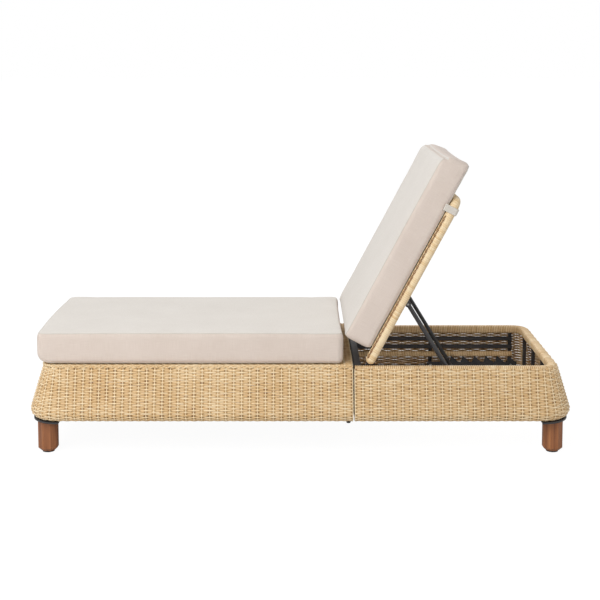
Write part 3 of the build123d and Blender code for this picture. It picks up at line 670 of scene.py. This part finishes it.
def makeDeck():
    low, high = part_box("front_deck")
    radius = deck["cornerRadius"]
    width = high.y - low.y
    level = high.z - deck["swing"] - deck["halfThick"]

    def surface(t, v):
        # rows start on the rounded end of the deck and stop at the joint
        fromEdge = np.clip(radius - np.minimum(v, width - v), 0, radius)
        start = low.x + radius - np.sqrt(np.clip(radius ** 2 - fromEdge ** 2, 0, None))
        x = start + t / (high.x - low.x) * (high.x - start)
        point = np.stack([x, low.y + v, np.full_like(x, level)], axis=-1)
        outward = np.broadcast_to((0.0, 0.0, 1.0), point.shape)
        upward = np.broadcast_to((0.0, 1.0, 0.0), point.shape)
        return point, outward, upward

    strands, stakes = weave("deck", surface, high.x - low.x, width, deck, seed=51, around=4)
    settle(strands, "base", wovenPaint, "wicker", "front_deck")
    settle(stakes, "base", strandPaint, "wicker")


def makeBorder():
    # three strands plaited along the top edge of the front skirt, each on a figure of eight
    length = float(track(-1, skirtHigh.x, np.zeros(1))[2])
    steps = round(length / border["period"] * border["stepsPerPeriod"])
    t = np.linspace(0, length, steps)
    base, level, _ = track(-1, skirtHigh.x, t)
    topU = float(skirtCurve(np.array([skirtSpan(skirtHigh.z, 0)]), 0)[0][0])
    up = np.array((0.0, 0.0, 1.0))
    phase = 2 * math.pi * t[None] / border["period"] + np.arange(3)[:, None] * 2 * math.pi / 3
    sway = border["sway"] * np.sin(phase)
    lift = border["lift"] * np.sin(2 * phase)
    center = base + level * (topU - border["setIn"]) + up * (skirtHigh.z + border["rise"])
    share, otherShare = border["tiltShares"]
    tilted = unit(level * share + up * otherShare)
    sideways = unit(up * share - level * otherShare)
    centers = center[None] + sideways[None] * sway[..., None] + tilted[None] * lift[..., None]
    outward = np.broadcast_to(tilted, centers.shape)
    across = np.broadcast_to(sideways, centers.shape)
    braid = strandTubes("deckBorder", centers, outward, across, border["halfThick"],
                        border["halfWide"], around=7, tone=np.array(border["tones"])[:, None])
    settle(braid, "base", strandPaint, "wicker")


makeDeck()
makeBorder()
print("deck woven")


# Backrest: everything is drawn along the flat panel and raised on the hinge

recline = next(joint for joint in frame["joints"] if joint["name"] == "backrest_recline")
backrest = {
    "angle": math.radians(62),
    "length": 0.675,
    "halfWidth": 0.343,
    "cushionStart": 0.020,
    "cushionLength": 0.777,
    "railHalf": 0.018,
    "bend": 0.040,
    "lowerRailPlace": 0.042,
    "lowerRailHalf": 0.013,
    "weaveOffset": 0.006,
    "wrapSquareness": 2.0,
    "wrapRelief": 0.5,
}
lacing = {
    "period": 0.022,
    "stepsPerPeriod": 10,
    "sway": 0.0025,
    "halfThick": 0.0014,
    "proud": 0.0022,
    # a dark tone that is painted shade of the gap between rail and cushion
    "tone": -0.9,
}
hinge = np.array(recline["pos_m"])
alongBack = np.array((math.cos(backrest["angle"]), 0.0, math.sin(backrest["angle"])))
faceBack = np.array((-math.sin(backrest["angle"]), 0.0, math.cos(backrest["angle"])))
acrossBack = np.array((0.0, 1.0, 0.0))


def raised(x, y, z):
    # place of panel coordinates: along the back, across it and out of its face
    x, y, z = np.broadcast_arrays(x, y, z)
    return hinge + x[..., None] * alongBack + y[..., None] * acrossBack + z[..., None] * faceBack


def hoopPath(t):
    # from a rounded foot up the near rail, round two bends over the top, and down the far rail.
    # Gives the centre line, two directions across it and its whole length.
    half = backrest["railHalf"]
    far = backrest["length"] - half
    railY = backrest["halfWidth"] - half
    bend = backrest["bend"]
    side = far - bend + half
    quarter = bend * math.pi / 2
    top = 2 * (railY - bend)
    stops = np.cumsum([0, side, quarter, top, quarter, side])
    first = np.clip(t - stops[1], 0, quarter) / bend
    second = np.clip(t - stops[3], 0, quarter) / bend
    down = np.clip(t - stops[4], 0, side)
    x = np.clip(t, 0, side) - half + bend * np.sin(first) - bend * (1 - np.cos(second)) - down
    y = np.clip(t - stops[2], 0, top) - railY + bend * (1 - np.cos(first)) + bend * np.sin(second)
    turn = first + second
    inPlane = np.sin(turn)[..., None] * alongBack - np.cos(turn)[..., None] * acrossBack
    return raised(x, y, 0.0), inPlane, np.broadcast_to(faceBack, inPlane.shape), stops[5]


def backPanelSurface(start, halfWidth):
    # rows run across the back and stakes run up it
    def surface(t, v):
        point = raised(start + v, t - halfWidth, backrest["weaveOffset"])
        return point, np.broadcast_to(faceBack, point.shape), np.broadcast_to(alongBack, point.shape)
    return surface


def makeBackrest():
    half = backrest["railHalf"]
    length = float(hoopPath(np.zeros(1))[3])
    square, relief = backrest["wrapSquareness"], backrest["wrapRelief"]
    hoop = wrapRail("backRimWrap", lambda t: hoopPath(t)[:3], length, half, square, seed=61,
                    endRound=True, relief=relief)
    settle(hoop, "backrest", railPaint, "wicker", "back_rim_wrap")
    railY = backrest["halfWidth"] - half
    foot = raised(backrest["lowerRailPlace"], -railY, 0.0)
    path = straightPath(foot, acrossBack, alongBack, faceBack)
    lower = wrapRail("backLowerWrap", path, 2 * railY, backrest["lowerRailHalf"], square, seed=67,
                     relief=relief)
    settle(lower, "backrest", railPaint, "wicker", "back_lower_rail")
    start = backrest["lowerRailPlace"]
    halfWidth = railY - half / 2
    surface = backPanelSurface(start, halfWidth)
    spanV = backrest["length"] - half - start
    strands, stakes = weave("backPanel", surface, 2 * halfWidth, spanV, skirt, seed=71)
    settle(strands, "backrest", wovenPaint, "wicker", "back_woven_panel")
    settle(stakes, "backrest", strandPaint, "wicker")


def makeLacing():
    # two strands twisted round each other along the cushion's side of both rails, painted dark as the
    # shade in the gap under the cushion
    half = backrest["railHalf"]
    length = backrest["length"] - 2 * backrest["bend"]
    steps = round(length / lacing["period"] * lacing["stepsPerPeriod"])
    x = np.linspace(0, length, steps)
    phase = math.pi * x[None] / lacing["period"] + np.arange(2)[:, None] * math.pi
    reach = (half + lacing["proud"]) * math.sqrt(0.5)
    for side, label in ((-1, "Near"), (1, "Far")):
        y = side * (backrest["halfWidth"] - half + reach) + lacing["sway"] * np.cos(phase)
        centers = raised(x[None], y, reach + lacing["sway"] * np.sin(phase))
        outward = np.broadcast_to(faceBack, centers.shape)
        across = np.broadcast_to(acrossBack, centers.shape)
        cord = strandTubes("backLacing" + label, centers, outward, across, lacing["halfThick"],
                           lacing["halfThick"], around=6, tone=lacing["tone"])
        settle(cord, "backrest", strandPaint, "wicker")


makeBackrest()
makeLacing()
print("backrest woven")


# Cushions

cushion = {
    "seat": {"length": 1.130, "height": 0.113, "curl": 0.026, "bow": 0.020, "slant": 0.0, "nose": 0.010},
    "back": {"length": 0.768, "height": 0.105, "curl": 0.0, "bow": 0.0, "slant": 0.015, "nose": 0.045},
    "seatShift": 0.007,
    "endReach": 0.060,
    "curlShare": 0.6,
    "width": 0.690,
    "sink": 0.003,
    "rise": 0.003,
    "corner": 0.024,
    "drawIn": 0.002,
    "edgeIn": 0.005,
    "edgeInShares": (1.0, 0.30, 0.0, 0.0, 0.30, 1.0),
    "levelShares": (0.0, 0.05, 0.20, 0.80, 0.95, 1.0),
    "middleIn": 0.12,
    "leastCorner": 0.02,
    "voxel": 0.008,
    "quality": 5,
    "pressure": 4.0,
    "frames": 20,
    "cap": 0.006,
    "pinch": 0.0014,
    "pinchReach": 0.007,
    "pinchShares": (0.3, 0.3, 1.0),
    "weltTilt": 0.3,
    "weltRadius": 0.0018,
    "weltSink": 0.0002,
    "restGap": 0.0005,
}
fabric = {
    "color": asColor(231, 226, 219),
    "shadow": asColor(214, 207, 199),
    # the side colours are painted shade: a darker, warmer copy of the top colours
    "sideShadedColor": asColor(229, 216, 206),
    "sideShadedDark": asColor(209, 193, 181),
    # the welt colours are darker than the cover as painted shade in the seam groove
    "weltShadedColor": asColor(216, 209, 199),
    "weltShadedDark": asColor(196, 188, 176),
    "thread": 0.0011,
    "slubScales": (22.0, 600.0),
    "patchScale": 7.0,
    "rough": 0.86,
    "sheen": 0.15,
    "bump": 0.3,
    "bumpDepth": 0.0004,
}


def roundedOutline(length, width, corner, drawIn, perSide=24, perCorner=8):
    # rounded rectangle walked from the middle of one end, its sides drawn in between the corners
    halfX, halfY = length / 2, width / 2
    turn = np.linspace(0, math.pi / 2, perCorner, endpoint=False)
    run = np.linspace(-1, 1, perSide, endpoint=False)
    pull = drawIn * (1 - run ** 2)
    x, y = [], []
    for k in range(4):
        reach, spread = (halfX, halfY - corner) if k % 2 == 0 else (halfY, halfX - corner)
        sideX = np.concatenate([reach - pull, reach - corner + corner * np.cos(turn)])
        sideY = np.concatenate([run * spread, spread + corner * np.sin(turn)])
        c, s = round(math.cos(k * math.pi / 2)), round(math.sin(k * math.pi / 2))
        x.append(c * sideX - s * sideY)
        y.append(s * sideX + c * sideY)
    return np.stack([np.concatenate(x), np.concatenate(y)], axis=-1)


def boxCushion(name, length, height):
    # closed cover: outlines stacked from the middle of the underside to the middle of the top,
    # with the edges set in
    insets = [share * cushion["edgeIn"] for share in cushion["edgeInShares"]]
    insets = [cushion["middleIn"], *insets, cushion["middleIn"]]
    levels = [0.0, *cushion["levelShares"], 1.0]
    rings = []
    for inside, level in zip(insets, levels):
        corner = max(cushion["corner"] - inside, cushion["leastCorner"])
        ring = roundedOutline(length - 2 * inside, cushion["width"] - 2 * inside, corner,
                              cushion["drawIn"])
        rings.append(np.column_stack([ring, np.full(len(ring), level * height)]))
    points = np.array(rings)
    return meshPiece(name, points, ringFaces(1, *points.shape[:2]))


def coordinates(data):
    flat = np.empty(len(data.vertices) * 3, np.float32)
    data.vertices.foreach_get("co", flat)
    return flat.reshape(-1, 3).astype(float)


def evaluatedMesh(piece):
    graph = bpy.context.evaluated_depsgraph_get()
    return bpy.data.meshes.new_from_object(piece.evaluated_get(graph))


def swell(piece):
    # lets the closed cover fill under pressure, and gives the even mesh and how far each point moved
    even = piece.modifiers.new("even", "REMESH")
    even.mode = "VOXEL"
    even.voxel_size = cushion["voxel"]
    piece.data = evaluatedMesh(piece)
    piece.modifiers.clear()
    rest = coordinates(piece.data)
    cloth = piece.modifiers.new("cloth", "CLOTH")
    cloth.settings.quality = cushion["quality"]
    cloth.settings.use_pressure = True
    cloth.settings.uniform_pressure_force = cushion["pressure"]
    cloth.settings.effector_weights.gravity = 0.0
    cloth.collision_settings.use_collision = False
    for step in range(1, cushion["frames"] + 1):
        bpy.context.scene.frame_set(step)
    moved = coordinates(evaluatedMesh(piece)) - rest
    piece.modifiers.clear()
    bpy.context.scene.frame_set(1)
    return rest, moved


def edgeDistance(points, length, level):
    # distance from the seam line, which runs round the set-in outline at one level
    halfX = length / 2 - cushion["edgeIn"]
    halfY = cushion["width"] / 2 - cushion["edgeIn"]
    bend = cushion["corner"] - cushion["edgeIn"]
    pullX = cushion["drawIn"] * np.clip(1 - (points[:, 1] / halfY) ** 2, 0, 1)
    pullY = cushion["drawIn"] * np.clip(1 - (points[:, 0] / halfX) ** 2, 0, 1)
    outX = np.abs(points[:, 0]) - (halfX - pullX) + bend
    outY = np.abs(points[:, 1]) - (halfY - pullY) + bend
    outline = np.hypot(np.clip(outX, 0, None), np.clip(outY, 0, None))
    outline = outline + np.clip(np.maximum(outX, outY), None, 0)
    return np.hypot(outline - bend, points[:, 2] - level)


def shaped(points, size):
    # low end: the underside turns up and the end bows out; high end: slanted, with a rounded nose
    x, y, z = points.T
    half, height = size["length"] / 2, size["height"]
    lowEnd = np.clip((cushion["endReach"] - half - x) / cushion["endReach"], 0, 1)
    highEnd = np.clip((x - half + cushion["endReach"]) / cushion["endReach"], 0, 1)
    nearMiddle = 1 - np.clip(np.abs(y) / (cushion["width"] / 2), 0, 1) ** 2
    z = z + size["curl"] * lowEnd ** 2 * np.clip(1 - z / (height * cushion["curlShare"]), 0, 1)
    x = x - size["bow"] * lowEnd * nearMiddle
    nose = size["nose"]
    overX = np.clip(x - (half - nose), 0, None)
    overZ = np.clip(z - (height - nose), 0, None)
    fit = np.maximum(overX, overZ) / (np.hypot(overX, overZ) + 1e-9)
    x = np.where(overX * overZ > 0, half - nose + overX * fit, x)
    z = np.where(overX * overZ > 0, height - nose + overZ * fit, z)
    x = x + size["slant"] * highEnd * (1 - z / height)
    return np.column_stack([x, y, z])


def fillCushion(name, size):
    # swollen cover in its own flat frame, pulled in along its two seams, and the seams' welts
    length, height = size["length"], size["height"]
    piece = boxCushion(name, length, height)
    rest, moved = swell(piece)
    shift = np.linalg.norm(moved, axis=1, keepdims=True) + 1e-9
    points = rest + moved / shift * cushion["cap"] * np.tanh(shift / cushion["cap"])
    center = np.array((0.0, 0.0, height / 2))
    inward = unit((center - rest) * cushion["pinchShares"])
    for level in (0.0, height):
        near = edgeDistance(rest, length, level) / cushion["pinchReach"]
        points = points + inward * (cushion["pinch"] * np.exp(-near ** 2))[:, None]
    inside = cushion["edgeIn"]
    ring = roundedOutline(length - 2 * inside, cushion["width"] - 2 * inside,
                          cushion["corner"] - inside, cushion["drawIn"], perSide=60, perCorner=12)
    batch = 64
    welts = []
    for level in (0.0, height):
        # a welt's point moves as the cover's points round it did, a batch of them at a time
        line = np.column_stack([ring, np.full(len(ring), level)])
        carried = np.empty_like(line)
        for start in range(0, len(line), batch):
            away = np.linalg.norm(line[start:start + batch, None] - rest[None], axis=-1)
            weight = np.exp(-(away / cushion["voxel"]) ** 2)
            weight /= weight.sum(axis=1, keepdims=True)
            carried[start:start + batch] = weight @ points
        welts.append(shaped(carried, size))
    return piece, shaped(points, size), welts


def placeCushion(piece, points, welts, toWorld, name, body, node, restLevel):
    # sets the underside flat on what carries it, and puts the cover and its welts in place
    points = points.copy()
    points[:, 2] = np.maximum(points[:, 2], restLevel)
    piece.data.vertices.foreach_set("co", toWorld(points).astype(np.float32).ravel())
    piece.data.update()
    addClothPlace(piece, points)
    smooth = piece.modifiers.new("smooth", "SUBSURF")
    smooth.levels = 1
    smooth.render_levels = 1
    settle(piece, body, fabricPaint, "cushion_fabric", node)
    radius = cushion["weltRadius"]
    for line, edge, tilt in zip(welts, ("Lower", "Upper"), (-1, 1)):
        line = line.copy()
        line[:, 2] = np.maximum(line[:, 2], restLevel + radius)
        middle = line.mean(axis=0)
        outward = unit((line - middle) * (1, 1, 0) + (0, 0, tilt * cushion["weltTilt"]))
        along = unit(np.roll(line, -1, axis=0) - np.roll(line, 1, axis=0))
        across = unit(np.cross(along, outward))
        line = line - outward * cushion["weltSink"]
        world = toWorld(line)[None]
        origin = toWorld(np.zeros((1, 3)))
        welt = strandTubes(name + edge + "Welt", world, (toWorld(outward) - origin)[None],
                           (toWorld(across) - origin)[None], radius, radius, around=8, tone=0.5,
                           closed=True)
        settle(welt, body, weltPaint, "cushion_fabric")


def addClothPlace(piece, points):
    # where each face's threads run: the two directions in the cover's own frame that the face lies in
    data = piece.data
    corners = np.empty(len(data.loops), np.int32)
    data.loops.foreach_get("vertex_index", corners)
    starts = np.empty(len(data.polygons), np.int32)
    data.polygons.foreach_get("loop_start", starts)
    sizes = np.diff(np.append(starts, len(corners)))
    first, second, third = (points[corners[starts + k]] for k in range(3))
    normal = np.abs(np.cross(second - first, third - first))
    facing = np.repeat(normal.argmax(axis=1), sizes)
    local = points[corners]
    pairs = np.array(((1, 2), (0, 2), (0, 1)))[facing]
    place = np.zeros((len(corners), 3), np.float32)
    place[:, 0] = np.take_along_axis(local, pairs[:, :1], axis=1)[:, 0]
    place[:, 1] = np.take_along_axis(local, pairs[:, 1:], axis=1)[:, 0]
    place[:, 2] = facing
    attribute = data.attributes.new("cloth", "FLOAT_VECTOR", "CORNER")
    attribute.data.foreach_set("vector", place.ravel())


def clothPaint(name, place, color, shadow, thread, shadedSides=None):
    # plain canvas: two crossed runs of thread, each with thick and thin lengths, and faint marks.
    # The side bands get a darker, warmer copy of the canvas colours as painted shade of the sides that
    # face away from the top light: the third part of the place tells them apart.
    paint = Paint(name)
    cloth = paint.attribute(place)
    split = paint.parts(cloth)
    wave = 2 * math.pi / thread
    warp = (split * wave).math("SINE")
    weft = (split.out("Y") * wave).math("SINE")
    coarse, fine = fabric["slubScales"]
    slubs = (paint.noise(paint.stretch(cloth, (coarse, fine, 1.0)), 1.0, 2.0)
             + paint.noise(paint.stretch(cloth, (fine, coarse, 1.0)), 1.0, 2.0)) * 0.5
    patches = paint.noise(paint.objectPlace(), fabric["patchScale"], 3.0)
    height = warp * weft * 0.5 + slubs
    factor = (slubs * 1.3 + patches * 0.5 + warp * weft * 0.10 - 0.42).clamp()
    tone = paint.blend(factor, shadow, color)
    if shadedSides:
        # band picks the side faces, which take the painted shade colours
        band = (2.0 - split.out("Z")).clamp()
        tone = paint.blend(band, tone, paint.blend(factor, *shadedSides))
    rough = fabric["rough"] + slubs * 0.1 - 0.05
    normal = paint.bump(height, fabric["bump"], fabric["bumpDepth"])
    return paint.finish({"Base Color": tone, "Roughness": rough, "Sheen Weight": fabric["sheen"],
                         "Normal": normal})


fabricPaint = clothPaint("cushionCanvas", "cloth", fabric["color"], fabric["shadow"], fabric["thread"],
                         (fabric["sideShadedDark"], fabric["sideShadedColor"]))
# the welts are painted darker as shade in the seam
weltPaint = clothPaint("weltCanvas", "strand", fabric["weltShadedColor"], fabric["weltShadedDark"], fabric["thread"])


def makeCushions():
    low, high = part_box("seat_cushion")
    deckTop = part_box("front_deck")[1].z
    middleX = (low.x + high.x) / 2 + cushion["seatShift"]
    seat, points, welts = fillCushion("seatCushion", cushion["seat"])
    lift = low.z + (high.z - low.z - cushion["seat"]["height"]) / 2 - cushion["sink"]

    def onDeck(flat):
        return flat + (middleX, 0.0, lift)

    placeCushion(seat, points, welts, onDeck, "seat", "base", "seat_cushion",
                 deckTop + cushion["restGap"] - lift)
    back, points, welts = fillCushion("backCushion", cushion["back"])
    face = backrest["railHalf"] + cushion["restGap"]
    start = backrest["cushionStart"] + backrest["cushionLength"] / 2

    def onBack(flat):
        return raised(start + flat[..., 0], flat[..., 1], face + cushion["rise"] + flat[..., 2])

    placeCushion(back, points, welts, onBack, "back", "back_cushion", "back_cushion", -cushion["rise"])


makeCushions()
print("cushions filled")


# Strap round the back

strap = {
    "place": 0.623,
    "halfWide": 0.013,
    "halfThick": 0.0011,
    "gap": 0.0016,
    "rise": 0.034,
    "bend": 0.010,
    "edgePower": 0.35,
    "thread": 0.0016,
    "color": asColor(226, 221, 213),
    "shadow": asColor(204, 196, 184),
}


def makeStrap():
    # webbing sewn to one side of the cushion, passed behind the rails and sewn to the other side
    outer = backrest["halfWidth"] + strap["gap"]
    low = -backrest["railHalf"] - strap["gap"]
    bend = strap["bend"]
    side = strap["rise"] - low - bend
    quarter = bend * math.pi / 2
    across = 2 * (outer - bend)
    stops = np.cumsum([0, side, quarter, across, quarter, side])
    t = np.unique(np.concatenate([np.linspace(a, b, 9) for a, b in zip(stops[:-1], stops[1:])]))
    first = np.clip(t - stops[1], 0, quarter) / bend
    second = np.clip(t - stops[3], 0, quarter) / bend
    down, up = np.clip(t, 0, side), np.clip(t - stops[4], 0, side)
    z = strap["rise"] - down - bend * np.sin(first) + bend * (1 - np.cos(second)) + up
    y = -outer + bend * (1 - np.cos(first)) + np.clip(t - stops[2], 0, across) + bend * np.sin(second)
    turn = (first + second)[:, None]
    outward = -np.cos(turn) * acrossBack - np.sin(turn) * faceBack
    centers = raised(strap["place"], y, z)
    along = np.broadcast_to(alongBack, outward.shape)
    band = strandTubes("cushionStrap", centers[None], outward[None], along[None],
                       strap["halfThick"], strap["halfWide"], around=16, tone=0.5,
                       power=strap["edgePower"])
    settle(band, "back_cushion", strapPaint, "strap_web", "cushion_strap")


strapPaint = clothPaint("strapWebbing", "strand", strap["color"], strap["shadow"], strap["thread"])
makeStrap()
print("strap made")


# Finishes of the solids that show as they are

finishes = {
    "frame": asColor(44, 43, 45),
    "frameDust": asColor(70, 68, 66),
    "zinc": asColor(176, 176, 174),
    "zincDull": asColor(128, 127, 124),
    "plastic": asColor(34, 33, 33),
    "plasticWorn": asColor(58, 56, 54),
    "teakLight": asColor(188, 126, 78),
    "teakBody": asColor(152, 95, 57),
    "teakDark": asColor(103, 61, 36),
    "frameRough": 0.42,
    "zincRough": 0.28,
    "plasticRough": 0.55,
    "teakRough": 0.46,
}


def coatPaint():
    # satin powder coat: fine orange peel, and dust that lies thicker in patches
    paint = Paint("blackPowderCoat")
    place = paint.objectPlace()
    peel = paint.noise(place, 620.0, 2.0)
    dust = (paint.noise(place, 9.0, 5.0, 0.6) * 1.8 - 0.75).clamp()
    color = paint.blend(dust, finishes["frame"], finishes["frameDust"])
    return paint.finish({"Base Color": color, "Roughness": finishes["frameRough"] + dust * 0.22,
                         "Normal": paint.bump(peel, 0.25, 0.0003)})


def zincPaint():
    paint = Paint("zincPlate")
    place = paint.objectPlace()
    cloud = paint.noise(place, 130.0, 4.0, 0.6)
    color = paint.blend(cloud, finishes["zincDull"], finishes["zinc"])
    rough = finishes["zincRough"] + cloud * 0.25
    return paint.finish({"Base Color": color, "Metallic": 1.0, "Roughness": rough,
                         "Normal": paint.bump(cloud, 0.1, 0.0002)})


def plasticPaint():
    paint = Paint("blackPlastic")
    place = paint.objectPlace()
    grain = paint.noise(place, 800.0, 2.0)
    worn = (paint.noise(place, 60.0, 4.0) * 1.7 - 0.7).clamp()
    color = paint.blend(worn, finishes["plastic"], finishes["plasticWorn"])
    return paint.finish({"Base Color": color, "Roughness": finishes["plasticRough"] + worn * 0.2,
                         "Normal": paint.bump(grain, 0.2, 0.0002)})


def teakPaint():
    # straight grain up the leg: broad bands, fine streaks and short dark pores
    paint = Paint("oiledTeak")
    place = paint.objectPlace()
    bands = paint.noise(paint.stretch(place, (34.0, 34.0, 1.6)), 1.0, 3.0, 0.55)
    streaks = paint.noise(paint.stretch(place, (310.0, 310.0, 5.0)), 1.0, 3.0, 0.6)
    pores = (paint.noise(paint.stretch(place, (900.0, 900.0, 38.0)), 1.0, 1.0) * 3.2 - 1.9).clamp()
    shade = (bands * 0.95 + streaks * 0.35 - pores * 0.28 - 0.12).clamp()
    color = paint.ramp(shade, (0.22, finishes["teakDark"]), (0.5, finishes["teakBody"]),
                       (0.8, finishes["teakLight"]))
    return paint.finish({"Base Color": color, "Roughness": finishes["teakRough"] + streaks * 0.14,
                         "Normal": paint.bump(streaks - pores * 0.6, 0.35, 0.0005)})


def dress(paint, *nodes):
    for name in nodes:
        data = frame["nodes"][name].data
        data.materials.clear()
        data.materials.append(paint)


dress(coatPaint(), "front_top_rail", "rear_top_rail", "front_bottom_rail", "rear_bottom_rail",
      "front_posts", "rear_posts", "seat_cross_tubes", "front_joint_frame", "rear_joint_frame",
      "rear_stringers", "left_rack", "right_rack", "rack_standoffs", "hinge_brackets",
      "corner_gussets", "back_frame_tube", "back_cross_tubes", "prop_ears", "left_prop_leg",
      "right_prop_leg", "prop_foot_bar")
dress(zincPaint(), "joint_bolts", "joint_spacers", "joint_nuts", "gusset_screws", "leg_bolts",
      "rack_bolts", "hinge_pins", "prop_pins")
dress(plasticPaint(), "leg_glides", "joint_bumpers", "hinge_bushes")
dress(teakPaint(), "front_left_leg", "front_right_leg", "rear_left_leg", "rear_right_leg")
print("solids dressed")
